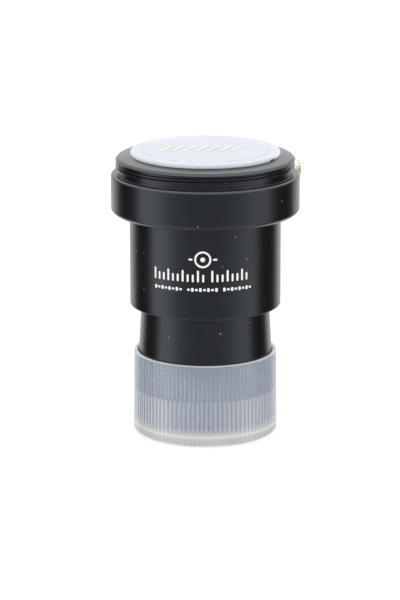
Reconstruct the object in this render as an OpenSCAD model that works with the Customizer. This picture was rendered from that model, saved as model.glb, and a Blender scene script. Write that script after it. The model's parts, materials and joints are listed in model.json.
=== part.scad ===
// Barlow lens for 1.25 inch eyepieces, with a male M42x0.75 thread round its mouth.
// Millimetres. The optical axis is +Z. The origin is on that axis, at the
// underside of the lower cap, which is the face that the object stands on.
// Sealed-in screw threads are drawn as plain cylinders at their major diameter.

/* [Lower cap] */
// Height of the cup from its underside to its rim
cap_h = 19.7; // [18:0.1:22]
// Outer diameter at the rim
cap_rim_d = 33.6; // [33.4:0.05:34.4]
// Outer diameter just above the rounded foot
cap_foot_d = 34.1; // [33.4:0.05:35]
// Radius of the rounded foot
cap_foot_r = 1.5; // [0.5:0.1:2]
// Thickness of the floor
cap_floor = 1.2; // [0.8:0.1:1.6]
// Number of fine upright ribs inside the wall
rib_count = 96; // [24:4:96]
// How far a rib stands in from the wall
rib_depth = 0.25; // [0.1:0.05:0.3]
// Air between the rib tips and the barrel, on the radius
cap_air = 0.06; // [0.02:0.01:0.1]

/* [Nosepiece] */
// Diameter of the barrel that slides into a focuser
nose_d = 31.7; // [31.5:0.05:31.75]
// Diameter at the narrow end of the safety undercut
undercut_d = 30.3; // [30:0.1:31]
// Height of the full-diameter land at the lower end
nose_land_h = 7.2; // [5:0.1:8]
// Height of the steep lower part of the undercut
nose_ramp_h = 4.5; // [3:0.1:6]
// Height of the whole visible barrel, from its end to the body tube
nose_h = 20.1; // [19:0.1:24]
// Diameter of the light path
nose_bore_d = 28.6; // [27.5:0.1:28.8]

/* [Lens cell] */
// Diameter of the part of the cell that shows below the barrel
cell_d = 30; // [29.8:0.1:30.4]
// Height of that part
cell_h = 6.9; // [6.6:0.1:8]
// Gap between the cell's end and the cap's underside
cell_stand = 3.9; // [3:0.1:5]
// Major diameter of the filter thread in the cell's mouth
filter_d = 28.5; // [28.4:0.05:28.6]
// Length of the filter thread
filter_h = 4; // [3:0.1:4.2]
// Diameter of the glass
lens_d = 25.5; // [24:0.1:26]

/* [Body tube] */
// Outer diameter
body_d = 35.5; // [35:0.1:36.5]
// Visible height between the nosepiece and the collar
body_h = 22.1; // [18:0.1:30]
// Diameter of the eyepiece bore
eyepiece_d = 31.8; // [31.78:0.01:31.9]

/* [Collar] */
// Outer diameter
collar_d = 44.2; // [44:0.1:48]
// Height of the plain part, up to the ledge
collar_h = 9.2; // [9.2:0.1:11]
// Major diameter of the male camera thread
thread_d = 42; // [41.9:0.05:42.1]
// Pitch of that thread
thread_pitch = 0.75; // [0.75:0.25:1]
// Height of the threaded ring from the ledge to the rim of its face
ring_h = 3.95; // [3.9:0.05:5]
// How far the ring's face rises from its rim towards the mouth
face_rise = 0.5; // [0.1:0.05:0.6]

/* [Thumbscrew] */
// Direction that the screw points in, seen from above
screw_turn = 41; // [0:1:359]
// Major diameter of the screw
screw_d = 3; // [2.5:0.1:3]
// Pitch of the screw
screw_pitch = 0.5; // [0.4:0.05:0.5]
// Diameter of the knurled head
head_d = 6; // [5:0.1:6.5]
// Length of the knurled head
head_l = 5; // [3.5:0.1:6]
// Number of ridges round the head
knurl_count = 28; // [16:2:36]

/* [Top cap] */
// Diameter of the flange
flange_d = 35; // [34:0.1:38]
// Thickness of the flange
flange_h = 1.0; // [0.5:0.1:1.5]
// Diameter of the raised disc on top
disc_d = 29.4; // [26:0.1:30]
// How far the disc stands up
disc_h = 0.3; // [0.3:0.1:0.7]
// Depth of the plug that enters the eyepiece bore
plug_h = 5.6; // [4:0.1:5.8]

/* [Hidden] */
$fn = 96;
EPS = 0.01;

// Levels, from the floor up
nose_z = cell_stand + cell_h;
body_z = nose_z + nose_h;
collar_z = body_z + body_h;
ledge_z = collar_z + collar_h;
rim_z = ledge_z + ring_h;
face_z = rim_z + face_rise;

// Radii that several parts share
nose_r = nose_d / 2;
bore_r = eyepiece_d / 2;
rib_tip_r = nose_r + cap_air;
joint_air = 0.05;

// Screwed joint between the nosepiece and the body tube
nose_plug_r = 16.5;
nose_plug_h = 5.1;
// Screwed joint between the body tube and the collar, and the ring pocket above it
tube_neck_r = 17;
tube_neck_h = 3.8;
pocket_h = 5;
// Screwed joint between the lens cell and the nosepiece
cell_neck_r = 14.6;
cell_neck_h = 4.2;

// Compression ring, which stands back from the bore while the thumbscrew is slack
ring_in_r = bore_r + 0.2;
ring_out_r = tube_neck_r - 0.02;
ring_tall = pocket_h - 0.2;
ring_gap = 1.6;
ring_z = collar_z + tube_neck_h + 0.1;

// Thumbscrew
screw_z = ring_z + ring_tall / 2;
tip_x = ring_out_r + 0.1;
head_x = 23.4;
shank_in_head = 3;

// Doublet: surface radii, and the places where the surfaces cross the axis
lens_r = lens_d / 2;
lens_seat_z = nose_z - 0.4;
front_radius = 60;
cement_radius = 35;
cement_gap = 0.02;
back_radius = 70;
front_z = lens_seat_z + sag(front_radius, lens_r);
crown_thick = 1.4;
flint_thick = 3;
cement_z = front_z + crown_thick;
back_z = cement_z + flint_thick;
lens_top_z = back_z + sag(back_radius, lens_r);

// Depth of a spherical surface of radius R at the distance r from its axis
function sag(R, r) = R - sqrt(R * R - r * r);

// Points on a quarter or part of a circle in the lathe plane
function arc(x, z, r, a0, a1, steps = 6) =
    [for (i = [0:steps]) let (a = a0 + (a1 - a0) * i / steps)
        [x + r * cos(a), z + r * sin(a)]];

// Crests and 60 degree grooves of a thread, from z0 upwards
function thread_steps(r, pitch, z0, turns, flat = 0.2) =
    let (depth = (pitch - flat) / 2 / tan(30) * 0.8)
    [for (i = [0:turns - 1]) let (z = z0 + i * pitch)
        each [[r, z], [r, z + flat], [r - depth, z + (pitch + flat) / 2]]];

// Ridges round a circle, as a flat outline
function ridged_outline(r, depth, count) =
    [for (i = [0:2 * count - 1]) let (a = 180 / count * i, q = r - (i % 2) * depth)
        [q * cos(a), q * sin(a)]];

// Square-cut ribs that stand in from a circle of radius r
function ribbed_outline(r, depth, count) =
    let (step = 360 / count)
    [for (i = [0:count - 1], k = [0:3])
        let (a = step * (i + k / 4), q = k < 2 ? r : r - depth)
        [q * cos(a), q * sin(a)]];

module lathe(points) {
    rotate_extrude() polygon(points);
}

module tube(outer_r, inner_r, z0, z1) {
    translate([0, 0, z0]) difference() {
        cylinder(r = outer_r, h = z1 - z0);
        translate([0, 0, -1]) cylinder(r = inner_r, h = z1 - z0 + 2);
    }
}

// Lays its children along the thumbscrew's outward axis
module on_screw_axis() {
    rotate([0, 0, screw_turn]) translate([0, 0, screw_z]) rotate([0, 90, 0]) children();
}

// Translucent cup over the barrel's end, with fine ribs that grip the barrel
module lower_cap() {
    rim_r = cap_rim_d / 2;
    foot_r = cap_foot_d / 2;
    lip = 0.3;
    color([0.80, 0.82, 0.84, 0.6]) difference() {
        lathe(concat([[0, 0]],
            arc(foot_r - cap_foot_r, cap_foot_r, cap_foot_r, -90, 0),
            [[rim_r, cap_h - lip], [rim_r - lip, cap_h], [0, cap_h]]));
        translate([0, 0, cap_floor]) linear_extrude(cap_h)
            polygon(ribbed_outline(rib_tip_r + rib_depth, rib_depth, rib_count));
    }
}

// Threaded ring that locks the glass in its cell, with two spanner slots
module lens_retaining_ring() {
    ring_r = lens_r + 0.75;
    height = 1.8;
    color("dimgray") difference() {
        tube(ring_r, lens_r - 1, lens_seat_z - height, lens_seat_z - EPS);
        translate([-ring_r - 1, -0.6, lens_seat_z - height - 1])
            cube([2 * ring_r + 2, 1.2, 1.8]);
    }
}

// Crown element, hollow on both faces
module lens_biconcave() {
    edge_z = cement_z + sag(cement_radius, lens_r);
    color([0.62, 0.80, 0.74, 0.5]) difference() {
        translate([0, 0, lens_seat_z]) cylinder(r = lens_r, h = edge_z - lens_seat_z);
        translate([0, 0, front_z - front_radius]) sphere(r = front_radius);
        translate([0, 0, cement_z + cement_radius]) sphere(r = cement_radius);
    }
}

// Flint element, cemented into the hollow of the crown
module lens_meniscus() {
    color([0.60, 0.70, 0.85, 0.5]) difference() {
        intersection() {
            translate([0, 0, cement_z]) cylinder(r = lens_r, h = lens_top_z - cement_z);
            translate([0, 0, cement_z + cement_radius]) sphere(r = cement_radius - cement_gap);
        }
        translate([0, 0, back_z + back_radius]) sphere(r = back_radius);
    }
}

// Cell that holds the glass, screws into the barrel and takes a filter in its mouth
module lens_cell() {
    outer_r = cell_d / 2;
    filter_r = filter_d / 2;
    seat_r = lens_r + joint_air;
    ring_r = lens_r + 0.75 + joint_air;
    top_z = lens_top_z + 1;
    edge = 0.4;
    color([0.14, 0.14, 0.15]) lathe([
        [filter_r, cell_stand], [outer_r - edge, cell_stand], [outer_r, cell_stand + edge],
        [outer_r, nose_z], [cell_neck_r, nose_z], [cell_neck_r, nose_z + cell_neck_h],
        [nose_bore_d / 2 - 0.1, nose_z + cell_neck_h + 0.2], [nose_bore_d / 2 - 0.1, top_z],
        [lens_r - 1.2, top_z], [lens_r - 1.2, lens_top_z + EPS], [seat_r, lens_top_z + EPS],
        [seat_r, lens_seat_z - EPS], [ring_r, lens_seat_z - EPS],
        [ring_r, cell_stand + filter_h], [filter_r, cell_stand + filter_h]]);
}

// Barrel that fits a 1.25 inch focuser, with a tapered safety undercut
module nosepiece() {
    land_z = nose_z + nose_land_h;
    ramp_z = land_z + nose_ramp_h;
    ramp_r = undercut_d / 2 + 0.4;
    bore = nose_bore_d / 2;
    edge = 0.3;
    color([0.16, 0.16, 0.17]) lathe([
        [cell_neck_r + 0.02, nose_z], [nose_r - edge, nose_z], [nose_r, nose_z + edge],
        [nose_r, land_z], [ramp_r, ramp_z], [undercut_d / 2, body_z - 0.4],
        [undercut_d / 2, body_z], [nose_plug_r, body_z], [nose_plug_r, body_z + nose_plug_h],
        [bore, body_z + nose_plug_h], [bore, nose_z + cell_neck_h + 0.4],
        [cell_neck_r + 0.02, nose_z + cell_neck_h + 0.4]]);
}

// Main tube: eyepiece bore inside, nosepiece screwed in below, collar screwed on above
module body_tube() {
    outer_r = body_d / 2;
    edge = 0.4;
    stop_z = body_z + nose_plug_h;
    neck_z = collar_z + tube_neck_h;
    color([0.17, 0.17, 0.18]) lathe([
        [nose_plug_r + 0.02, body_z], [outer_r - edge, body_z], [outer_r, body_z + edge],
        [outer_r, collar_z], [tube_neck_r, collar_z], [tube_neck_r, neck_z],
        [bore_r, neck_z], [bore_r, stop_z], [nose_plug_r + 0.02, stop_z]]);
}

// Split ring that the thumbscrew squeezes onto the eyepiece
module compression_ring() {
    color([0.80, 0.66, 0.36]) difference() {
        tube(ring_out_r, ring_in_r, ring_z, ring_z + ring_tall);
        rotate([0, 0, screw_turn + 180]) translate([bore_r - 2, -ring_gap / 2, ring_z - 1])
            cube([6, ring_gap, ring_tall + 2]);
    }
}

// Wide ring round the mouth, with the male camera thread and the tapped screw hole
module collar() {
    outer_r = collar_d / 2;
    crest_r = thread_d / 2;
    foot_r = crest_r - 0.6;
    relief_h = 0.6;
    lip_h = 0.6;
    lip_flat = 0.2;
    face_in_r = 17.3;
    mouth = 0.4;
    turns = floor((ring_h - relief_h - lip_h - lip_flat) / thread_pitch);
    thread_z = rim_z - lip_h - lip_flat - turns * thread_pitch;
    pocket_r = tube_neck_r + 0.02;
    pocket_top = collar_z + tube_neck_h + pocket_h;
    color([0.15, 0.15, 0.16]) difference() {
        lathe(concat(
            [[pocket_r, collar_z], [outer_r - 0.8, collar_z], [outer_r, collar_z + 0.8],
             [outer_r, ledge_z - 0.4], [outer_r - 0.45, ledge_z], [foot_r, ledge_z],
             [foot_r, thread_z - 0.1]],
            thread_steps(crest_r, thread_pitch, thread_z, turns),
            [[crest_r, rim_z - lip_h - lip_flat], [crest_r, rim_z - lip_h],
             [crest_r - lip_h, rim_z], [face_in_r, face_z], [bore_r + mouth, face_z],
             [bore_r, face_z - mouth], [bore_r, pocket_top], [pocket_r, pocket_top]]));
        on_screw_axis() translate([0, 0, bore_r])
            cylinder(r = screw_d / 2 + 0.06, h = outer_r - bore_r + 1);
    }
}

// Threaded shank that runs in the collar and presses on the split ring
module thumbscrew_shank() {
    r = screw_d / 2;
    end_x = head_x + shank_in_head;
    smooth_x = head_x - 0.1;
    turns = floor((smooth_x - tip_x - 0.6) / screw_pitch);
    thread_x = smooth_x - turns * screw_pitch;
    color([0.78, 0.68, 0.42]) on_screw_axis() lathe(concat(
        [[0, tip_x], [r - 0.5, tip_x], [r - 0.3, thread_x]],
        thread_steps(r, screw_pitch, thread_x, turns, 0.15),
        [[r, smooth_x], [r, end_x], [0, end_x]]));
}

// Straight-knurled head between two bevelled ends, with a dished face
module thumbscrew_head() {
    knurl = 0.26;
    bevel = 0.35;
    root_r = head_d / 2 - knurl - 0.02;
    end_r = root_r - bevel;
    dish_r = end_r - 0.6;
    dish_depth = 0.3;
    color([0.86, 0.76, 0.48]) on_screw_axis() translate([0, 0, head_x]) difference() {
        union() {
            lathe([[0, 0], [end_r, 0], [root_r, bevel], [root_r, head_l - bevel],
                [end_r, head_l], [0, head_l]]);
            translate([0, 0, bevel]) linear_extrude(head_l - 2 * bevel)
                polygon(ridged_outline(head_d / 2, knurl, knurl_count));
        }
        translate([0, 0, -1])
            cylinder(r = screw_d / 2 + joint_air, h = shank_in_head + 1.1);
        translate([0, 0, head_l - dish_depth]) cylinder(r = dish_r, h = 1);
    }
}

// Plug cap in the eyepiece bore, with a flange on the threaded ring's face
module top_cap() {
    plug_r = bore_r - 0.08;
    plug_wall = 1;
    flange_r = flange_d / 2;
    seat_z = face_z + 0.02;
    top_z = seat_z + flange_h;
    round_r = 0.2;
    notch_turn = -27;
    color([0.90, 0.91, 0.94]) difference() {
        lathe(concat(
            [[0, top_z + disc_h - 1], [plug_r - plug_wall, top_z + disc_h - 1],
             [plug_r - plug_wall, face_z - plug_h], [plug_r - 0.4, face_z - plug_h],
             [plug_r, face_z - plug_h + 0.6], [plug_r, seat_z]],
            arc(flange_r - round_r, seat_z + round_r, round_r, -90, 0, 3),
            arc(flange_r - round_r, top_z - round_r, round_r, 0, 90, 3),
            [[disc_d / 2, top_z], [disc_d / 2 - 0.4, top_z + disc_h], [0, top_z + disc_h]]));
        rotate([0, 0, notch_turn]) translate([flange_r - 0.7, -1.3, seat_z - 1])
            cube([2, 2.6, 1.3]);
    }
}

lower_cap();
lens_retaining_ring();
lens_biconcave();
lens_meniscus();
lens_cell();
nosepiece();
body_tube();
compression_ring();
collar();
thumbscrew_shank();
thumbscrew_head();
top_cap();
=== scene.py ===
"""Looks of a barlow lens: black anodised tubes, brass thumbscrew, white plug cap and frosted ribbed cup."""

import json
import math

import bmesh
import bpy
from mathutils import Matrix, Vector


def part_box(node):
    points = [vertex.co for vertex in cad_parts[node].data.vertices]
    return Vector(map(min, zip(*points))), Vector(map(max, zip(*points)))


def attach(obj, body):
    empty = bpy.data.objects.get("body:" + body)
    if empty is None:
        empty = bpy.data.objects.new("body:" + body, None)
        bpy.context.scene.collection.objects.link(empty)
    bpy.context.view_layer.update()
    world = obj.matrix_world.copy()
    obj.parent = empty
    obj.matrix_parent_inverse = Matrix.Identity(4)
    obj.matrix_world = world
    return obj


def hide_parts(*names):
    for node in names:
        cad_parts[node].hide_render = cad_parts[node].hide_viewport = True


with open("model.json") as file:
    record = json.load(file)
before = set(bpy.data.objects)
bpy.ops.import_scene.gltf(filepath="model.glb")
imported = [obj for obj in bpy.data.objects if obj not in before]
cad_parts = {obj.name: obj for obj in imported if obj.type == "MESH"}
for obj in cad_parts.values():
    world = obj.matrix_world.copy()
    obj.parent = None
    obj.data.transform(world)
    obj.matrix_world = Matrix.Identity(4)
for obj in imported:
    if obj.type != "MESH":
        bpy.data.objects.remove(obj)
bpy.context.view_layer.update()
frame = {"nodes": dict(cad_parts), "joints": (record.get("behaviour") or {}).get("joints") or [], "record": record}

MM = 0.001
TURN = 2 * math.pi
FINE = 288  # segments round the tubes that show
COARSE = 144  # segments round the parts inside
SHARP_ANGLE = math.radians(32)
LARGE_FILLET = 0.5  # from this radius up an edge is a blend, and doesn't wear
RELIEF = 0.14  # how far the bars on the cap stand up
SCREW_HOLE_R = 1.55  # round the 3 mm shank, in the collar and in the knob
CUP_RIBS = 96


# ---------------------------------------------------------------- the frame, in millimetres


def box_mm(node):
    """Lowest and highest corner of a CAD node, in millimetres."""
    lo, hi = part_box(node)
    return lo / MM, hi / MM


def mount_mm(name, key):
    """A dimension of one of the record's mounts, in millimetres."""
    for mount in frame["record"]["mounts"]:
        if mount["name"] == name:
            return mount["dims"][key]
    raise KeyError(name)


def joint_named(name):
    return next(j for j in frame["joints"] if j["name"] == name)


CUP_HI = box_mm("lower_cap")[1]
CELL_LO, CELL_HI = box_mm("lens_cell")
NOSE_LO, NOSE_HI = box_mm("nosepiece")
TUBE_LO, TUBE_HI = box_mm("body_tube")
COLLAR_LO, COLLAR_HI = box_mm("collar")
SPLIT_LO, SPLIT_HI = box_mm("compression_ring")
CAP_LO, CAP_HI = box_mm("top_cap")
CROWN_LO, CROWN_HI = box_mm("lens_biconcave")
FLINT_HI = box_mm("lens_meniscus")[1]
LOCK_HI = box_mm("lens_retaining_ring")[1]

BORE_R = mount_mm("eyepiece_bore", "r_mm")
THREAD_R = mount_mm("camera_thread", "r_mm")
FILTER_R = mount_mm("filter_thread", "r_mm")
NOSE_R = mount_mm("nosepiece_barrel", "r_mm")
TUBE_R = TUBE_HI.x
COLLAR_R = COLLAR_HI.x

SCREW = joint_named("thumbscrew_turn")
SCREW_AXIS = Vector(SCREW["axis"])
SCREW_POINT = Vector(SCREW["pos_m"])
SCREW_AZIMUTH = math.atan2(SCREW_AXIS.y, SCREW_AXIS.x)


# ---------------------------------------------------------------- profiles and spun meshes


def corner(r, z, fillet=0.0, ridge=0.0):
    """A corner of a lathe outline: radius, height, rounding, and how far ridges push it out."""
    return (r, z, fillet, ridge)


def rounded(corners, steps=4, support=0.3):
    """Lathe points (r, z, proud, ridge) of a closed outline, each corner rounded by its fillet.

    Proud is 1 on a small rounded edge, which gets rubbed, and 0 beside it."""
    points = []
    for i, (r, z, fillet, ridge) in enumerate(corners):
        here = Vector((r, z))
        if fillet == 0:
            points.append((r, z, 0.0, ridge))
            continue
        to_last = Vector(corners[i - 1][:2]) - here
        to_next = Vector(corners[(i + 1) % len(corners)][:2]) - here
        cut = min(fillet, 0.45 * to_last.length, 0.45 * to_next.length)
        start = here + to_last.normalized() * cut
        end = here + to_next.normalized() * cut
        if to_last.length > 2 * (cut + support):
            before = here + to_last.normalized() * (cut + support)
            points.append((before.x, before.y, 0.0, ridge))
        for k in range(steps + 1):
            t = k / steps
            q = start * (1 - t) ** 2 + here * 2 * t * (1 - t) + end * t**2
            proud = 1.0 - abs(2 * t - 1) * 0.5 if fillet < LARGE_FILLET else 0.0
            points.append((q.x, q.y, proud, ridge))
        if to_next.length > 2 * (cut + support):
            after = here + to_next.normalized() * (cut + support)
            points.append((after.x, after.y, 0.0, ridge))
    return points


class Spun:
    """A mesh made by turning lathe points round the local Z axis."""

    def __init__(self, segments, wave=None):
        self.segments = segments
        self.wave = wave or (lambda angle: 0.0)
        self.verts = []
        self.proud = []
        self.faces = []

    def add(self, r, z, angle, proud=0.0):
        self.verts.append((r * math.cos(angle) * MM, r * math.sin(angle) * MM, z * MM))
        self.proud.append(proud)
        return len(self.verts) - 1

    def ring(self, point):
        """Vertices of one lathe point: a whole ring, or one pole vertex on the axis."""
        r, z, proud, ridge = point
        if r < 1e-6:
            return [self.add(0, z, 0, proud)] * self.segments
        made = []
        for i in range(self.segments):
            angle = TURN * i / self.segments
            height = self.wave(angle) if ridge else 0.0
            made.append(self.add(r + ridge * height, z, angle, max(proud, height)))
        return made

    def face(self, *corners):
        loop = [c for i, c in enumerate(corners) if c != corners[i - 1]]
        if len(loop) > 2:
            self.faces.append(loop)

    def bridge(self, low, high):
        n = self.segments
        for i in range(n):
            j = (i + 1) % n
            self.face(low[i], low[j], high[j], high[i])

    def rings(self, points, closed):
        made = [self.ring(p) for p in points]
        for low, high in zip(made, made[1:]):
            self.bridge(low, high)
        if closed:
            self.bridge(made[-1], made[0])
        return made

    def helix(self, low, high, root, crest, pitch, z0, turns, flat=0.3):
        """A true helical thread from height z0 between two finished rings, faded in and out."""
        flank = (1 - flat) / 2 - 0.06
        shares = [(0, 0), (0.06, 0), (0.06 + flank / 2, 0.5), (0.06 + flank, 1)]
        shares += [(0.5, 1), (0.94 - flank, 1), (0.94 - flank / 2, 0.5), (0.94, 0)]
        n, last = self.segments, self.segments * turns
        fade_over = n / 5
        grid = []
        for i in range(last + 1):
            angle = TURN * i / n
            fade = min(1.0, i / fade_over, (last - i) / fade_over)
            z = z0 + pitch * i / n
            row = []
            for t, height in shares:
                r = root + (crest - root) * height * fade
                row.append(self.add(r, z + t * pitch, angle, 0.7 * height * fade))
            grid.append(row)
        top = []
        for i in range(last - n, last + 1):
            z = z0 + pitch * (i / n + 1)
            top.append(self.add(root, z, TURN * i / n))
        edge = [row[0] for row in grid] + top[1:]
        top[0] = edge[last]
        edge[last] = top[0]
        for i in range(last):
            above = [*grid[i], edge[i + n]]
            beside = [*grid[i + 1], edge[i + 1 + n]]
            for k in range(len(shares)):
                self.face(above[k], beside[k], beside[k + 1], above[k + 1])
        for i in range(n - 1):
            self.face(low[i], low[i + 1], edge[i + 1], edge[i])
        self.faces.append([low[n - 1], low[0], *grid[0], edge[n], edge[n - 1]])
        for i in range(1, n):
            j = (i + 1) % n
            self.face(edge[last + i], edge[last + i + 1], high[j], high[i])
        self.faces.append([*reversed(grid[last]), edge[last + 1], high[1], high[0], edge[last + n]])


def spun(corners, segments, wave=None, steps=4):
    """A closed body of revolution with rounded corners."""
    made = Spun(segments, wave)
    made.rings(rounded(corners, steps), closed=True)
    return made


def piece(name, made, body, material, stands_for=(), matrix=None):
    """Turns vertices and faces into a named piece that rides on a body."""
    mesh = bpy.data.meshes.new(name)
    mesh.from_pydata(made.verts, [], made.faces)
    if matrix is not None:
        mesh.transform(matrix)
    attribute = mesh.attributes.new("proud", "FLOAT", "POINT")
    attribute.data.foreach_set("value", made.proud)
    tidy = bmesh.new()
    tidy.from_mesh(mesh)
    bmesh.ops.recalc_face_normals(tidy, faces=tidy.faces)
    tidy.to_mesh(mesh)
    tidy.free()
    mesh.shade_smooth()
    mesh.set_sharp_from_angle(angle=SHARP_ANGLE)
    made_object = bpy.data.objects.new(name, mesh)
    bpy.context.scene.collection.objects.link(made_object)
    made_object.data.materials.append(material)
    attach(made_object, body)
    if stands_for:
        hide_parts(*stands_for)
    return made_object


# ---------------------------------------------------------------- materials


class Shader:
    """A node material with one Principled shader and short ways to add patterns to it."""

    def __init__(self, name, **sockets):
        self.material = bpy.data.materials.new(name)
        self.material.use_nodes = True
        self.tree = self.material.node_tree
        self.tree.nodes.clear()
        out = self.node("ShaderNodeOutputMaterial")
        self.surface = self.node("ShaderNodeBsdfPrincipled")
        self.link(self.surface.outputs[0], out.inputs["Surface"])
        for key, value in sockets.items():
            self.surface.inputs[key.replace("_", " ")].default_value = value
        self.place = self.node("ShaderNodeTexCoord").outputs["Object"]

    def node(self, kind, **values):
        made = self.tree.nodes.new(kind)
        for key, value in values.items():
            setattr(made, key, value)
        return made

    def link(self, source, target):
        self.tree.links.new(source, target)

    def math(self, operation, a, b=0.0):
        """A Math node over sockets or numbers."""
        made = self.node("ShaderNodeMath", operation=operation)
        for socket, value in zip(made.inputs, (a, b)):
            if isinstance(value, (int, float)):
                socket.default_value = value
            else:
                self.link(value, socket)
        return made.outputs[0]

    def noise(self, scale, detail=3.0, along=None):
        """Noise in the piece's own space, or along one value when it is given."""
        made = self.node("ShaderNodeTexNoise", noise_dimensions="1D" if along else "3D")
        made.inputs["Scale"].default_value = scale
        made.inputs["Detail"].default_value = detail
        if along:
            self.link(along, made.inputs["W"])
        else:
            self.link(self.place, made.inputs["Vector"])
        return made.outputs["Fac"]

    def ramp(self, value, *stops):
        """Maps a value through (position, grey or colour) stops."""
        made = self.node("ShaderNodeValToRGB")
        elements = made.color_ramp.elements
        while len(elements) < len(stops):
            elements.new(1.0)
        for element, (position, colour) in zip(elements, stops):
            element.position = position
            grey = isinstance(colour, (int, float))
            element.color = (colour, colour, colour, 1) if grey else (*colour, 1)
        self.link(value, made.inputs["Fac"])
        return made.outputs["Color"]

    def blend(self, share, first, second):
        """Mixes two colours, each a socket or a colour, by a share socket."""
        made = self.node("ShaderNodeMix", data_type="RGBA")
        self.link(share, made.inputs["Factor"])
        for socket, value in ((made.inputs[6], first), (made.inputs[7], second)):
            if isinstance(value, tuple):
                socket.default_value = (*value, 1)
            else:
                self.link(value, socket)
        return made.outputs[2]

    def turned(self):
        """Distance along the turned surface: height plus radius, so grooves are circles everywhere."""
        parts = self.node("ShaderNodeSeparateXYZ")
        self.link(self.place, parts.inputs[0])
        x, y, z = parts.outputs
        radius = self.math("SQRT", self.math("ADD", self.math("POWER", x, 2.0), self.math("POWER", y, 2.0)))
        around = self.math("ARCTAN2", x, y)
        return self.math("ADD", radius, z), around

    def bump(self, height, strength, depth_mm):
        made = self.node("ShaderNodeBump")
        made.inputs["Strength"].default_value = strength
        made.inputs["Distance"].default_value = depth_mm * MM
        self.link(height, made.inputs["Height"])
        self.link(made.outputs[0], self.surface.inputs["Normal"])

    def proud(self):
        """How far a point stands proud: 1 on edges and crests, 0 in the valleys and on flats."""
        made = self.node("ShaderNodeAttribute", attribute_name="proud")
        return made.outputs["Fac"]

    def slant(self):
        """0 where a wall is seen square on and 1 at a glancing angle, where more of it is looked through."""
        made = self.node("ShaderNodeLayerWeight")
        made.inputs["Blend"].default_value = 0.5
        return made.outputs["Facing"]

    def ribs(self, count):
        """A smooth wave of upright stripes in step with the ribs, 1 along each crest."""
        parts = self.node("ShaderNodeSeparateXYZ")
        self.link(self.place, parts.inputs[0])
        around = self.math("ARCTAN2", parts.outputs[1], parts.outputs[0])
        wave = self.math("SINE", self.math("MULTIPLY", around, float(count)))
        return self.ramp(self.math("ADD", self.math("MULTIPLY", wave, 0.5), 0.5), (0.35, 0.0), (0.75, 1.0))

    def height(self, low_mm, high_mm):
        """0 below the low height and 1 above the high one."""
        parts = self.node("ShaderNodeSeparateXYZ")
        self.link(self.place, parts.inputs[0])
        made = self.node("ShaderNodeMapRange")
        made.inputs["From Min"].default_value = low_mm * MM
        made.inputs["From Max"].default_value = high_mm * MM
        self.link(parts.outputs[2], made.inputs["Value"])
        return made.outputs[0]

    def colour(self, socket):
        self.link(socket, self.surface.inputs["Base Color"])

    def roughness(self, value, low, high):
        spread = self.node("ShaderNodeMapRange")
        spread.inputs["To Min"].default_value = low
        spread.inputs["To Max"].default_value = high
        self.link(value, spread.inputs["Value"])
        self.link(spread.outputs[0], self.surface.inputs["Roughness"])


def dust_specks(shader, along, around, scale=330.0, size=0.04, kept=0.1):
    """Sparse round specks, each well under half a millimetre, on the unrolled surface."""
    flat = shader.node("ShaderNodeCombineXYZ")
    shader.link(shader.math("MULTIPLY", around, TUBE_R * MM), flat.inputs[0])
    shader.link(along, flat.inputs[1])
    cells = shader.node("ShaderNodeTexVoronoi", voronoi_dimensions="2D")
    cells.inputs["Scale"].default_value = scale
    shader.link(flat.outputs[0], cells.inputs["Vector"])
    near = shader.math("LESS_THAN", cells.outputs["Distance"], size)
    chosen = shader.node("ShaderNodeSeparateColor")
    shader.link(cells.outputs["Color"], chosen.inputs[0])
    keep = shader.math("LESS_THAN", chosen.outputs[0], kept)
    return shader.math("MULTIPLY", near, keep)


def black_anodised(name, base, rough):
    """Satin black oxide over turned aluminium, with fine circular grain, dust and rubbed edges."""
    shader = Shader(name, IOR=1.5)
    shader.surface.inputs["Specular Tint"].default_value = (0.84, 0.9, 1.0, 1)
    along, around = shader.turned()
    grain = shader.noise(5200.0, 4.0, along)
    mottle = shader.noise(900.0, 4.0)
    cloud = shader.noise(70.0, 2.0)
    dark = tuple(c * 0.75 for c in base)
    light = tuple(c * 1.3 for c in base)
    dye = shader.ramp(mottle, (0.3, dark), (0.7, light))
    rubbed = shader.math("MULTIPLY", shader.proud(), shader.ramp(mottle, (0.42, 0.1), (0.66, 0.4)))
    worn = shader.blend(rubbed, dye, (0.05, 0.052, 0.056))
    specks = dust_specks(shader, along, around)
    shader.colour(shader.blend(specks, worn, (0.34, 0.34, 0.33)))
    haze = shader.math("ADD", cloud, shader.math("MULTIPLY", grain, 0.5))
    shader.roughness(haze, rough - 0.05, rough + 0.05)
    shader.bump(grain, 0.35, 0.004)
    return shader.material


def matt_black(name):
    """Dull blackened metal inside, with coarse tool marks."""
    shader = Shader(name, IOR=1.45)
    along, _ = shader.turned()
    grain = shader.noise(2600.0, 3.0, along)
    shader.colour(shader.ramp(shader.noise(1500.0), (0.3, 0.012), (0.7, 0.03)))
    shader.roughness(grain, 0.5, 0.7)
    shader.bump(grain, 0.6, 0.01)
    return shader.material


def brass(name, light, deep):
    """Pale bright-turned brass, browner in the grooves and along its tool marks."""
    shader = Shader(name, Metallic=1.0)
    stain = shader.noise(650.0, 5.0)
    marks = shader.noise(9000.0, 2.0)
    tone = shader.ramp(stain, (0.3, deep), (0.65, light))
    polished = shader.ramp(shader.proud(), (0.25, 0.0), (0.75, 1.0))
    shader.colour(shader.blend(polished, tone, light))
    shader.roughness(marks, 0.22, 0.38)
    shader.bump(marks, 0.3, 0.004)
    return shader.material


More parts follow.
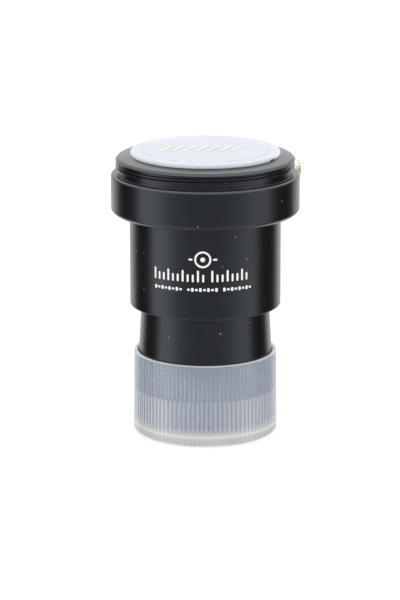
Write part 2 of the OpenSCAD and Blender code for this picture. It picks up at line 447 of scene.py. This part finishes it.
def waxy_white(name, depth, painted_glow):
    """Soft white polythene with a faint blue cast and mould bloom. Light goes in and leaks out again.

    Depth is how much light goes in. The glow argument is a painted glow: an even emission that
    lightens its shaded sides. Proud edges and mouldings are shinier, and are painted whiter as a
    painted highlight."""
    # painted glow: the emission strength is a painted glow that lightens the shaded sides
    shader = Shader(name, IOR=1.45, Subsurface_Weight=depth, Specular_IOR_Level=0.2, Emission_Strength=painted_glow)
    shader.surface.inputs["Subsurface Scale"].default_value = 2 * MM
    shader.surface.inputs["Subsurface Radius"].default_value = (1.0, 1.0, 1.2)
    shader.surface.inputs["Emission Color"].default_value = (0.92, 0.94, 1.0, 1)
    bloom = shader.noise(160.0, 4.0)
    skin = shader.ramp(bloom, (0.3, (0.52, 0.55, 0.60)), (0.7, (0.565, 0.59, 0.635)))
    # painted highlight: where proud rises, on the tops of the cap's grip bars, the colour is painted whiter
    shader.colour(shader.blend(shader.proud(), skin, (0.86, 0.865, 0.87)))
    dull = shader.math("SUBTRACT", 1.0, shader.math("MULTIPLY", shader.proud(), 0.8))
    shader.roughness(shader.math("MULTIPLY", dull, shader.noise(2500.0, 2.0)), 0.25, 0.65)
    shader.bump(shader.noise(3800.0, 2.0), 0.25, 0.006)
    return shader.material


def frosted(name):
    """Milky polythene: thick places scatter the light, and thin ones let it through.

    It is milkiest in the foot, at the rim and along the ribs. Part of the milk is painted light: a painted
    highlight along the top of the rim and in a band just below the foot's inner step, a foot painted
    brighter as painted light coming up through it besides its thickness, and ribs painted milkier below
    the barrel's land, where light from inside the cup reaches them, than over the land, where the dark
    barrel shades them."""
    shader = Shader(name, IOR=1.4)
    cloud = shader.noise(110.0, 4.0)
    cold = shader.ramp(cloud, (0.3, (0.74, 0.815, 0.935)), (0.7, (0.78, 0.845, 0.95)))
    warm = shader.ramp(cloud, (0.3, (0.81, 0.81, 0.81)), (0.7, (0.845, 0.845, 0.84)))
    over_land = shader.height(NOSE_LO.z - 0.1, NOSE_LO.z + 0.3)
    over_foot = shader.height(CELL_LO.z - 1.0, CELL_LO.z + 0.6)
    below_rim = shader.height(CUP_HI.z, CUP_HI.z - 0.3)
    slanting = shader.ramp(shader.slant(), (0.03, 0.35), (0.2, 1.0))
    crest = shader.math("MULTIPLY", shader.ribs(CUP_RIBS), slanting)
    # painted light: the ribs are painted milkier below the barrel's land, where light from inside the cup reaches
    # them, and fainter over the land, where the dark barrel shades them
    rib_thickness_and_painted_light = shader.math("SUBTRACT", 0.3, shader.math("MULTIPLY", over_land, 0.23))
    ribs = shader.math("MULTIPLY", crest, rib_thickness_and_painted_light)
    # the foot is thick plastic, and its milk is also painted light coming up through it from the floor
    foot = shader.math("SUBTRACT", 1.0, over_foot)
    # painted highlight: a band just below the foot's inner step is made milkier, so it shows as a bright line
    step = shader.math("MULTIPLY", shader.height(2.1, 2.4), shader.height(3.0, 2.7))
    foot_thickness_and_painted_light = shader.math("ADD", 0.26, shader.math("MULTIPLY", step, 0.14))
    foot_thickness_and_painted_light = shader.math("ADD", foot_thickness_and_painted_light, shader.math("MULTIPLY", crest, 0.06))
    # painted highlight: the top 0.3 mm of the rim is made milkier, so it shows as a bright line
    rim = shader.math("MULTIPLY", shader.math("SUBTRACT", 1.0, below_rim), 0.6)
    # the milk holds real thickness together with the painted light and painted highlights above, and sets both
    # whiteness and transmission
    milkiness_with_painted_light = shader.math("MAXIMUM", shader.math("MULTIPLY", foot, foot_thickness_and_painted_light), ribs)
    milkiness_with_painted_light = shader.math("MAXIMUM", milkiness_with_painted_light, rim)
    # whiteness follows the milk, so the painted light and painted highlights also turn the colour from blue to
    # neutral
    whiteness = shader.math("MAXIMUM", foot, shader.math("MULTIPLY", milkiness_with_painted_light, 2.2))
    shader.colour(shader.blend(whiteness, cold, warm))
    clearest = 0.79
    shader.link(shader.math("SUBTRACT", clearest, milkiness_with_painted_light), shader.surface.inputs["Transmission Weight"])
    shader.roughness(shader.noise(1800.0, 3.0), 0.2, 0.29)
    shader.bump(shader.noise(2600.0, 3.0), 0.2, 0.004)
    return shader.material


def coated_glass(name):
    """Clear glass with a green anti-reflection coat and the odd grain of dust."""
    shader = Shader(name, IOR=1.52, Transmission_Weight=1.0, Coat_Weight=0.35, Coat_Roughness=0.02)
    shader.surface.inputs["Coat Tint"].default_value = (0.55, 0.9, 0.7, 1)
    dust = shader.ramp(shader.noise(6500.0, 1.0), (0.74, 0.0), (0.8, 0.4))
    shader.colour(shader.blend(dust, (0.90, 0.97, 0.94), (0.8, 0.8, 0.8)))
    shader.roughness(dust, 0.0, 0.25)
    return shader.material


def print_ink(name):
    """White pad-printed ink, thin and slightly uneven."""
    shader = Shader(name, IOR=1.48)
    patch = shader.noise(3200.0, 3.0)
    shader.colour(shader.ramp(patch, (0.25, 0.66), (0.5, 0.9)))
    shader.roughness(patch, 0.45, 0.65)
    shader.bump(patch, 0.3, 0.004)
    return shader.material


BLACK_BODY = black_anodised("black_anodised_satin", (0.0058, 0.0072, 0.0082), 0.2)
BLACK_CELL = black_anodised("black_anodised_dull", (0.016, 0.016, 0.017), 0.4)
BLACK_MATT = matt_black("black_matt")
BRASS_PLAIN = brass("brass_turned", (0.86, 0.72, 0.44), (0.66, 0.50, 0.24))
BRASS_BRIGHT = brass("brass_bright", (0.98, 0.96, 0.85), (0.50, 0.42, 0.26))
# the cap's polythene carries a painted glow of 0.14 that lightens its shaded sides
WHITE_WAX = waxy_white("white_polythene", 0.9, 0.14)
WHITE_BARS = waxy_white("white_polythene_bars", 0.2, 0.0)
FROSTED = frosted("frosted_polythene")
GLASS = coated_glass("coated_glass")
INK = print_ink("white_ink")


# ---------------------------------------------------------------- lower cup


def ridge_wave(count, sharpness=2.2):
    """A wave of rounded ridges round a circle, 0 in the valleys and 1 on the crests."""

    def wave(angle):
        swing = math.sin(count * angle) * sharpness
        return 0.5 + 0.5 * max(-1.0, min(1.0, swing))

    return wave


def make_cup():
    """Frosted cup: rounded foot, thin wall with upright ribs inside, smooth lip at the rim."""
    foot_r = CUP_HI.x
    rim_r = foot_r - 0.25
    lip_r = NOSE_R + 0.07
    root_r = NOSE_R + 0.31
    rib = lip_r - root_r
    top = CUP_HI.z
    floor = 1.2
    corners = [
        corner(0, 0),
        corner(foot_r - 1.2, 0, 0.4),
        corner(foot_r, 0.6, 0.8),
        corner(foot_r - 0.06, 4.2),
        corner(rim_r, top, 0.28),
        corner(lip_r, top, 0.2),
        corner(lip_r, top - 0.55),
        corner(root_r, top - 0.95, 0, rib),
        corner(root_r, top - 6, 0, rib),
        corner(root_r, 8, 0, rib),
        corner(root_r, 3.2, 0, rib),
        corner(root_r, 3.05, 0, rib),
        corner(root_r - 0.4, 2.85, 0.12),
        corner(root_r - 0.5, 1.7, 0.3),
        corner(root_r - 1.5, floor, 0.3),
        corner(0, floor),
    ]
    made = Spun(CUP_RIBS * 8, ridge_wave(CUP_RIBS))
    made.rings(rounded(corners), closed=False)
    return piece("frosted_cup", made, "lower_cap", FROSTED, ("lower_cap",))


# ---------------------------------------------------------------- barrel


def grooves(r, depth, z_from, z_to, pitch):
    """Corners of small V grooves cut outward into a bore, listed from the top down."""
    count = int((z_from - z_to) / pitch)
    listed = []
    for i in range(count):
        z = z_from - i * pitch
        listed.append(corner(r, z))
        listed.append(corner(r + depth, z - pitch * 0.5))
    listed.append(corner(r, z_from - count * pitch))
    return listed


def make_nosepiece():
    """Slim barrel with its tapered safety undercut, and light-trap grooves in the bore."""
    land_top = NOSE_LO.z + 7.2
    ramp_top = land_top + 4.5
    waist_r = NOSE_R - 0.7
    neck = TUBE_LO.z
    plug_r = NOSE_HI.x
    bore = 14.3
    socket_r = 14.62
    socket_top = NOSE_LO.z + 4.6
    corners = [
        corner(socket_r, NOSE_LO.z, 0.12),
        corner(NOSE_R, NOSE_LO.z, 0.3),
        corner(NOSE_R, land_top, 0.9),
        corner(waist_r + 0.4, ramp_top, 1.6),
        corner(waist_r, neck - 0.35, 0.3),
        corner(waist_r, neck),
        corner(plug_r, neck),
        corner(plug_r, NOSE_HI.z, 0.25),
        corner(bore, NOSE_HI.z, 0.2),
        *grooves(bore, 0.3, NOSE_HI.z - 1, CELL_HI.z + 1.2, 0.8),
        corner(bore, socket_top),
        corner(socket_r, socket_top),
    ]
    made = spun(corners, FINE)
    piece("nosepiece_barrel", made, "barrel", BLACK_BODY, ("nosepiece",))


def make_body_tube():
    """Main tube with broken edges and the stop ledge for eyepieces."""
    socket_r = NOSE_HI.x + 0.02
    neck_r = 17.0
    shoulder = COLLAR_LO.z
    corners = [
        corner(socket_r, TUBE_LO.z, 0.15),
        corner(TUBE_R, TUBE_LO.z, 0.4),
        corner(TUBE_R, TUBE_LO.z + 8),
        corner(TUBE_R, shoulder - 8),
        corner(TUBE_R, shoulder),
        corner(neck_r, shoulder),
        corner(neck_r, TUBE_HI.z, 0.2),
        corner(BORE_R, TUBE_HI.z, 0.25),
        corner(BORE_R, NOSE_HI.z),
        corner(socket_r, NOSE_HI.z),
    ]
    made = spun(corners, FINE)
    piece("main_tube", made, "barrel", BLACK_BODY, ("body_tube",))


def make_collar():
    """Wide collar: chamfered band, ledge, thread relief, helical thread, lip and sloping face."""
    ledge = COLLAR_LO.z + 9.2
    face = COLLAR_HI.z
    rim = face - 0.5
    root_r = THREAD_R - 0.46
    pocket_r = SPLIT_HI.x + 0.04
    pocket_top = SPLIT_HI.z + 0.1
    pitch = 0.75
    turns = 2
    lip = rim - 0.78
    start = lip - 0.14 - pitch * (turns + 1)
    lower = [
        corner(pocket_r, COLLAR_LO.z, 0.15),
        corner(COLLAR_R - 0.8, COLLAR_LO.z, 0.2),
        corner(COLLAR_R, COLLAR_LO.z + 0.8, 0.25),
        corner(COLLAR_R, ledge - 0.4, 0.2),
        corner(COLLAR_R - 0.45, ledge, 0.2),
        corner(root_r - 0.12, ledge, 0.12),
        corner(root_r - 0.12, start - 0.2),
        corner(root_r, start - 0.1),
    ]
    upper = [
        corner(root_r, lip - 0.1),
        corner(THREAD_R, lip + 0.12, 0.06),
        corner(THREAD_R, rim - 0.6, 0.12),
        corner(THREAD_R - 0.6, rim, 0.15),
        corner(17.3, face, 0.3),
        corner(BORE_R + 0.4, face, 0.12),
        corner(BORE_R, face - 0.4, 0.12),
        corner(BORE_R, pocket_top, 0.12),
        corner(pocket_r, pocket_top),
    ]
    points = rounded([*lower, *upper], steps=3)
    cut = next(i for i, p in enumerate(points) if abs(p[1] - (start - 0.1)) < 1e-6)
    made = Spun(FINE)
    below = made.rings(points[: cut + 1], closed=False)
    above = made.rings(points[cut + 1 :], closed=False)
    made.bridge(above[-1], below[0])
    made.helix(below[-1], above[0], root_r, THREAD_R, pitch, start, turns)
    collar = piece("thread_collar", made, "barrel", BLACK_BODY, ("collar",))
    drill_screw_hole(collar, pocket_r - 0.5, COLLAR_R + 0.5)


def drill_screw_hole(drilled, low, high):
    """Cuts the thumbscrew's hole through a wall, from one distance along the screw to another."""
    made = bmesh.new()
    hole_r = SCREW_HOLE_R * MM
    bmesh.ops.create_cone(
        made, cap_ends=True, segments=48, radius1=hole_r, radius2=hole_r, depth=(high - low) * MM
    )
    mesh = bpy.data.meshes.new("drill")
    made.to_mesh(mesh)
    made.free()
    mesh.transform(screw_matrix() @ Matrix.Translation((0, 0, (low + high) / 2 * MM)))
    drill = bpy.data.objects.new("drill", mesh)
    bpy.context.scene.collection.objects.link(drill)
    cut = drilled.modifiers.new("hole", "BOOLEAN")
    cut.solver = "EXACT"
    cut.object = drill
    view = bpy.context.evaluated_depsgraph_get()
    finished = bpy.data.meshes.new_from_object(drilled.evaluated_get(view))
    drilled.modifiers.clear()
    drilled.data = finished
    finished.set_sharp_from_angle(angle=SHARP_ANGLE)
    bpy.data.objects.remove(drill)


def make_lens_cell():
    """Cell under the barrel: filter grooves in the mouth, seats for glass and retaining ring."""
    outer_r = CELL_HI.x
    neck_r = 14.6
    seat_r = CROWN_HI.x + 0.05
    lock_r = LOCK_HI.x + 0.05
    aperture = CROWN_HI.x - 1.2
    inner_r = 14.2
    filter_top = CELL_LO.z + mount_mm("filter_thread", "length_mm")
    corners = [
        corner(outer_r, CELL_LO.z, 0.4),
        corner(outer_r, NOSE_LO.z),
        corner(neck_r, NOSE_LO.z),
        corner(neck_r, NOSE_LO.z + 4.2, 0.15),
        corner(inner_r, NOSE_LO.z + 4.4, 0.1),
        corner(inner_r, CELL_HI.z, 0.2),
        corner(aperture, CELL_HI.z, 0.2),
        corner(aperture, FLINT_HI.z + 0.01),
        corner(seat_r, FLINT_HI.z + 0.01),
        corner(seat_r, CROWN_LO.z),
        corner(lock_r, CROWN_LO.z),
        corner(lock_r, filter_top),
        *grooves(FILTER_R - 0.3, 0.3, filter_top, CELL_LO.z + 0.4, 0.6),
        corner(FILTER_R, CELL_LO.z, 0.15),
    ]
    made = spun(corners, COARSE)
    piece("lens_cell_body", made, "barrel", BLACK_CELL, ("lens_cell",))


def make_split_ring():
    """Brass ring with rounded edges and a narrow gap on the side away from the thumbscrew."""
    gap_angle = 1.6 / SPLIT_HI.x
    start = SCREW_AZIMUTH + math.pi + gap_angle / 2
    sweep = TURN - gap_angle
    inner_r = BORE_R + 0.2
    section = rounded([
        corner(inner_r, SPLIT_LO.z, 0.2),
        corner(SPLIT_HI.x, SPLIT_LO.z, 0.15),
        corner(SPLIT_HI.x, SPLIT_HI.z, 0.15),
        corner(inner_r, SPLIT_HI.z, 0.2),
    ])
    made = Spun(COARSE)
    rows = []
    for i in range(COARSE + 1):
        angle = start + sweep * i / COARSE
        rows.append([made.add(r, z, angle, proud) for r, z, proud, _ in section])
    for low, high in zip(rows, rows[1:]):
        for k in range(len(section)):
            made.face(low[k - 1], high[k - 1], high[k], low[k])
    made.faces.append(rows[0])
    made.faces.append(rows[-1])
    piece("split_ring", made, "barrel", BRASS_PLAIN, ("compression_ring",))


# ---------------------------------------------------------------- glass


def dome(r_edge, z_edge, radius, steps=14):
    """Corners of a spherical face from its edge to the axis. A negative radius hollows downwards."""
    centre = z_edge + math.copysign(math.sqrt(radius**2 - r_edge**2), radius)
    listed = []
    for i in range(steps + 1):
        r = r_edge * (1 - i / steps)
        z = centre - math.copysign(math.sqrt(radius**2 - r**2), radius)
        listed.append(corner(r, z))
    return listed


def make_glass():
    """The two cemented elements of the negative doublet."""
    r = CROWN_HI.x
    lower = list(reversed(dome(r, CROWN_LO.z, -60)))
    upper = dome(r, CROWN_HI.z, 35)
    crown = Spun(COARSE)
    crown.rings([(a, b, 0.0, 0.0) for a, b, _, _ in [*lower, *upper]], closed=False)
    piece("glass_biconcave", crown, "barrel", GLASS, ("lens_biconcave",))
    under = list(reversed(dome(r - 0.02, CROWN_HI.z + 0.02, 35)))
    over = dome(r - 0.02, FLINT_HI.z, 70)
    flint = Spun(COARSE)
    flint.rings([(a, b, 0.0, 0.0) for a, b, _, _ in [*under, *over]], closed=False)
    piece("glass_meniscus", flint, "barrel", GLASS, ("lens_meniscus",))


def finish_retaining_ring():
    """The slotted ring keeps its CAD shape and takes a dull black finish."""
    ring = frame["nodes"]["lens_retaining_ring"]
    ring.data.materials.clear()
    ring.data.materials.append(BLACK_MATT)


# ---------------------------------------------------------------- thumbscrew


def screw_matrix():
    """Takes the local Z axis to the thumbscrew's axis, at its height."""
    turn = Vector((0, 0, 1)).rotation_difference(SCREW_AXIS).to_matrix().to_4x4()
    return Matrix.Translation(SCREW_POINT) @ turn


def along_screw(node):
    """Where a node starts and ends along the screw's axis, in millimetres from the optical axis."""
    places = [(v.co - SCREW_POINT).dot(SCREW_AXIS) / MM for v in frame["nodes"][node].data.vertices]
    return min(places), max(places)


def make_shank():
    """Threaded shank with a blunt point and a plain neck inside the head."""
    tip, end = along_screw("thumbscrew_shank")
    neck = along_screw("thumbscrew_head")[0]
    r = 1.5
    root = r - 0.3
    pitch = 0.5
    start = tip + 0.45
    turns = int((neck - 0.35 - start) / pitch) - 1
    top = start + pitch * (turns + 1)
    made = Spun(48)
    tip_points = [(0, tip, 0, 0), (r - 0.55, tip, 0.5, 0), (root, start - 0.05, 0, 0)]
    below = made.rings(tip_points, closed=False)
    neck_points = [(root, top + 0.05, 0, 0), (r, top + 0.2, 0.5, 0), (r, end, 0, 0), (0, end, 0, 0)]
    above = made.rings(neck_points, closed=False)
    made.helix(below[-1], above[0], root, r, pitch, start, turns, flat=0.25)
    piece(
        "thumbscrew_thread", made, "screw_shank",
        BRASS_PLAIN, ("thumbscrew_shank",), screw_matrix(),
    )


def make_head():
    """Knurled head: straight rounded ridges between bevelled ends, dished outer face."""
    base, end = along_screw("thumbscrew_head")
    r = 3.0
    root = r - 0.28
    knurl = r - root
    hole = SCREW_HOLE_R
    hole_end = base + 3.1
    corners = [
        corner(0, hole_end),
        corner(hole, hole_end),
        corner(hole, base, 0.1),
        corner(root - 0.35, base, 0.1),
        corner(root - 0.02, base + 0.33, 0, 0),
        corner(root, base + 0.4, 0, knurl * 0.75),
        corner(root, base + 0.6, 0, knurl),
        corner(root, (base + end) / 2, 0, knurl),
        corner(root, end - 0.6, 0, knurl),
        corner(root, end - 0.4, 0, knurl * 0.75),
        corner(root - 0.02, end - 0.33, 0, 0),
        corner(root - 0.35, end, 0.12),
        corner(root - 0.85, end, 0.12),
        corner(root - 1.05, end - 0.28, 0.15),
        corner(0, end - 0.3),
    ]
    made = Spun(28 * 10, ridge_wave(28, 1.4))
    made.rings(rounded(corners), closed=False)
    piece(
        "thumbscrew_knob", made, "screw_head",
        BRASS_BRIGHT, ("thumbscrew_head",), screw_matrix(),
    )


# ---------------------------------------------------------------- top cap


def make_top_cap():
    """Plug cap: hollow plug, rounded flange with a pry notch, and a raised disc."""
    seat = COLLAR_HI.z + 0.02
    flange_r = CAP_HI.x
    flange_top = seat + 1.0
    disc_top = CAP_HI.z - RELIEF
    disc_r = 14.75
    plug_r = BORE_R - 0.08
    hollow_r = plug_r - 1
    corners = [
        corner(0, seat),
        corner(hollow_r, seat, 0.4),
        corner(hollow_r, CAP_LO.z, 0.2),
        corner(plug_r - 0.4, CAP_LO.z, 0.2),
        corner(plug_r, CAP_LO.z + 0.6, 0.3),
        corner(plug_r, seat, 0.05),
        corner(flange_r - 0.02, seat, 0.03),
        corner(flange_r, seat + 0.52, 0.05),
        corner(flange_r - 0.12, seat + 0.6),
        corner(flange_r - 0.06, seat + 0.7),
        corner(flange_r - 0.4, flange_top, 0.06),
        corner(disc_r + 0.12, flange_top),
        corner(disc_r, flange_top - 0.1),
        corner(disc_r - 0.06, disc_top, 0.04),
        corner(8, disc_top),
        corner(0, disc_top),
    ]
    made = Spun(FINE)
    made.rings([(r, z, 0.0, 0.0) for r, z, _, _ in rounded(corners)], closed=False)
    cut_pry_notch(made, flange_r, seat)
    piece("plug_cap", made, "top_cap", WHITE_WAX, ("top_cap",))
    return disc_top


def cut_pry_notch(made, flange_r, seat):
    """Lifts the underside of the flange over a short arc, to let a fingernail under it."""
    azimuth = math.radians(-27)
    half_width = 1.3
    depth = 0.3
    for i, (x, y, z) in enumerate(made.verts):
        r = math.hypot(x, y) / MM
        off = abs(math.remainder(math.atan2(y, x) - azimuth, TURN)) * r
        low = seat - 0.01 < z / MM < seat + depth
        if r > flange_r - 0.7 and off < half_width and low:
            made.verts[i] = (x, y, (seat + depth) * MM)


def grip_bar(made, middle, base_z, length, width, slant):
    """A low moulded bar with round ends and a domed top, laid on the cap at a slant."""
    sides = 32
    along = Vector((math.sin(slant), math.cos(slant)))
    across = Vector((along.y, -along.x))
    straight = (length - width) / 2
    rings = []
    for share, lift in ((1.0, -0.05), (1.0, 0.0), (0.93, 0.45), (0.78, 0.75), (0.5, 0.95), (0.2, 1.0)):
        ring = []
        for i in range(sides):
            angle = TURN * i / sides
            end = straight if math.sin(angle) >= 0 else -straight
            reach = width / 2 * share
            spot = middle + along * (end + reach * math.sin(angle)) + across * reach * math.cos(angle)
            made.verts.append((spot.x * MM, spot.y * MM, (base_z + RELIEF * lift) * MM))
            # proud rises to 1 on the bar's top, which the bar material paints whiter as a painted highlight
            made.proud.append(max(0.0, lift))
            ring.append(len(made.verts) - 1)
        rings.append(ring)
    for low, high in zip(rings, rings[1:]):
        for i in range(sides):
            j = (i + 1) % sides
            made.face(low[i], low[j], high[j], high[i])
    made.faces.append(rings[-1])
    made.faces.append(list(reversed(rings[0])))


def make_grip_bars(disc_top):
    """A plain row of slanted finger bars across the cap's disc."""
    made = Spun(FINE)
    count = 7
    step = 2.75
    for i in range(count):
        middle = Vector(((i - (count - 1) / 2) * step - 0.8, 0))
        grip_bar(made, middle, disc_top, 7.4, 1.15, math.radians(24))
    piece("grip_bars", made, "top_cap", WHITE_BARS)


# ---------------------------------------------------------------- printed marks


class Print:
    """Thin ink shapes laid round the tube, drawn flat in millimetres and wrapped on the cylinder."""

    def __init__(self, radius, centre_angle):
        self.radius = radius
        self.centre = centre_angle
        self.verts = []
        self.proud = []
        self.faces = []

    def point(self, across, height, lift):
        angle = self.centre + across / self.radius
        r = self.radius + lift
        self.verts.append((r * math.sin(angle) * MM, -r * math.cos(angle) * MM, height * MM))
        self.proud.append(0.0)
        return len(self.verts) - 1

    def solid(self, outline):
        """A closed thin solid over an outline narrow enough to stay flat."""
        under = [self.point(a, h, -0.02) for a, h in outline]
        over = [self.point(a, h, 0.02) for a, h in outline]
        self.faces.append(over)
        self.faces.append(list(reversed(under)))
        for i in range(len(outline)):
            self.faces.append([under[i - 1], under[i], over[i], over[i - 1]])

    def bar(self, across, height, width, tall):
        """A bar with rounded corners, given by its middle."""
        soft = min(width, tall) * 0.3
        outline = []
        for sx, sy, first in ((1, -1, -90), (1, 1, 0), (-1, 1, 90), (-1, -1, 180)):
            cx = across + sx * (width / 2 - soft)
            cy = height + sy * (tall / 2 - soft)
            for k in range(4):
                angle = math.radians(first + 30 * k)
                outline.append((cx + soft * math.cos(angle), cy + soft * math.sin(angle)))
        self.solid(outline)

    def dot(self, across, height, r):
        sides = 20
        turns = [TURN * i / sides for i in range(sides)]
        self.solid([(across + r * math.cos(a), height + r * math.sin(a)) for a in turns])

    def circle(self, across, height, r, width):
        """A ring of ink, as a closed chain of short quads."""
        sides = 56
        rows = []
        for i in range(sides):
            c, s = math.cos(TURN * i / sides), math.sin(TURN * i / sides)
            row = []
            for reach, lift in ((r, -0.02), (r, 0.02), (r - width, 0.02), (r - width, -0.02)):
                row.append(self.point(across + reach * c, height + reach * s, lift))
            rows.append(row)
        for i in range(sides):
            last, here = rows[i - 1], rows[i]
            for k in range(4):
                self.faces.append([last[k - 1], here[k - 1], here[k], last[k]])


def make_print():
    """A generic target mark over two groups of upright strokes and a row of fine dashes."""
    ink = Print(TUBE_R, math.radians(-2))
    mark = TUBE_LO.z + 14.55
    ink.circle(0, mark, 1.95, 0.42)
    ink.dot(0, mark, 0.55)
    for side in (-1, 1):
        ink.bar(side * 2.85, mark, 0.95, 0.42)
    foot = TUBE_LO.z + 9.25
    for first, count in ((-11.9, 11), (2.2, 8)):
        for i in range(count):
            tall = 2.7 if i % 3 == 0 else 1.75
            ink.bar(first + i * 1.2, foot + tall / 2, 0.45, tall)
    fine = TUBE_LO.z + 7.4
    for i in range(26):
        if i % 9 != 8:
            ink.bar(-11.7 + i * 0.93, fine, 0.6, 0.5 if i % 2 else 0.85)
    piece("front_marks", ink, "barrel", INK)


# ---------------------------------------------------------------- stage, light and camera


def make_floor():
    """A plain pale floor. Mirror-like rays pass it, so the tubes reflect the light tent instead."""
    made = bmesh.new()
    bmesh.ops.create_circle(made, cap_ends=True, radius=0.9, segments=96)
    mesh = bpy.data.meshes.new("floor")
    made.to_mesh(mesh)
    made.free()
    floor = bpy.data.objects.new("floor", mesh)
    floor.location.z = -0.05 * MM
    bpy.context.scene.collection.objects.link(floor)
    shader = Shader("pale_floor", Roughness=0.9, Specular_IOR_Level=0.0, Emission_Strength=0.56)
    shader.colour(shader.ramp(shader.noise(3.0), (0.3, 0.54), (0.7, 0.56)))
    floor.data.materials.append(shader.material)
    floor.visible_glossy = False


# Brightness of the tent's wall by azimuth, in degrees from the front, positive to the right
TENT = (
    (-180, 1.1),
    (-145, 1.0),
    (-134, 0.45),
    (-124, 0.04),
    (-104, 0.02),
    (-88, 1.15),
    (-74, 1.8),
    (-58, 1.4),
    (-40, 0.75),
    (-20, 0.52),
    (0, 0.5),
    (20, 0.52),
    (40, 0.75),
    (58, 1.15),
    (72, 1.3),
    (86, 0.65),
    (102, 0.02),
    (124, 0.04),
    (134, 0.45),
    (145, 1.0),
    (180, 1.1),
)


def make_world():
    """A white tent with dark flags beside the object and a bright roof. The camera sees plain white."""
    world = bpy.data.worlds.new("light_tent")
    bpy.context.scene.world = world
    world.use_nodes = True
    world.cycles.sampling_method = "NONE"
    tree = world.node_tree
    tree.nodes.clear()

    def node(kind, **values):
        made = tree.nodes.new(kind)
        for key, value in values.items():
            setattr(made, key, value)
        return made

    def arithmetic(operation, a, b):
        made = node("ShaderNodeMath", operation=operation)
        for socket, value in zip(made.inputs, (a, b)):
            if isinstance(value, (int, float)):
                socket.default_value = value
            else:
                tree.links.new(value, socket)
        return made.outputs[0]

    parts = node("ShaderNodeSeparateXYZ")
    tree.links.new(node("ShaderNodeTexCoord").outputs["Generated"], parts.inputs[0])
    x, y, z = parts.outputs
    azimuth = arithmetic("ARCTAN2", x, arithmetic("MULTIPLY", y, -1.0))
    share = arithmetic("ADD", arithmetic("DIVIDE", azimuth, TURN), 0.5)
    bands = node("ShaderNodeFloatCurve")
    curve = bands.mapping.curves[0]
    brightest = 2.0
    places = [(0.5 + angle / 360, level / brightest) for angle, level in TENT]
    curve.points[0].location = places[0]
    curve.points[1].location = places[-1]
    for place in places[1:-1]:
        curve.points.new(*place)
    bands.mapping.update()
    tree.links.new(share, bands.inputs["Value"])
    wall = arithmetic("MULTIPLY", bands.outputs[0], brightest)

    path = node("ShaderNodeLightPath")
    roof = node("ShaderNodeMix", data_type="FLOAT")
    tree.links.new(path.outputs["Is Diffuse Ray"], roof.inputs["Factor"])
    roof.inputs[2].default_value = 3.0
    roof.inputs[3].default_value = 0.92
    overhead = node("ShaderNodeMapRange", interpolation_type="SMOOTHSTEP")
    overhead.inputs["From Min"].default_value = 0.2
    overhead.inputs["From Max"].default_value = 0.9
    tree.links.new(z, overhead.inputs["Value"])
    lit = node("ShaderNodeMix", data_type="FLOAT")
    tree.links.new(overhead.outputs[0], lit.inputs["Factor"])
    # Dull surfaces see an evener wall than shiny ones, as from lamps out of the mirror angles
    soft_wall = arithmetic("ADD", arithmetic("MULTIPLY", wall, 0.2), 1.15)
    sides = node("ShaderNodeMix", data_type="FLOAT")
    tree.links.new(path.outputs["Is Diffuse Ray"], sides.inputs["Factor"])
    tree.links.new(wall, sides.inputs[2])
    tree.links.new(soft_wall, sides.inputs[3])
    tree.links.new(sides.outputs[0], lit.inputs[2])
    tree.links.new(roof.outputs[0], lit.inputs[3])
    even = node("ShaderNodeMix", data_type="FLOAT")
    tree.links.new(path.outputs["Is Camera Ray"], even.inputs["Factor"])
    tree.links.new(lit.outputs[0], even.inputs[2])
    even.inputs[3].default_value = 1.0
    background = node("ShaderNodeBackground")
    background.inputs["Color"].default_value = (1, 1, 1, 1)
    tree.links.new(even.outputs[0], background.inputs["Strength"])
    tree.links.new(background.outputs[0], node("ShaderNodeOutputWorld").inputs["Surface"])


def make_camera():
    """A long lens, 0.7 m away and 14.4 degrees above the horizon, from the front."""
    distance = 0.7
    elevation = math.radians(14.4)
    aim = Vector((-1.25, 0, 31.4)) * MM
    data = bpy.data.cameras.new("camera")
    data.lens = 177.8
    data.clip_start = 0.01
    data.clip_end = 20
    camera = bpy.data.objects.new("camera", data)
    camera.location = aim + distance * Vector((0, -math.cos(elevation), math.sin(elevation)))
    camera.rotation_euler = (math.pi / 2 - elevation, 0, 0)
    bpy.context.scene.collection.objects.link(camera)
    bpy.context.scene.camera = camera


make_cup()
make_nosepiece()
make_body_tube()
make_collar()
make_lens_cell()
make_split_ring()
make_glass()
finish_retaining_ring()
make_shank()
make_head()
make_grip_bars(make_top_cap())
make_print()
make_floor()
make_world()
make_camera()
bpy.context.scene.view_settings.view_transform = "Standard"
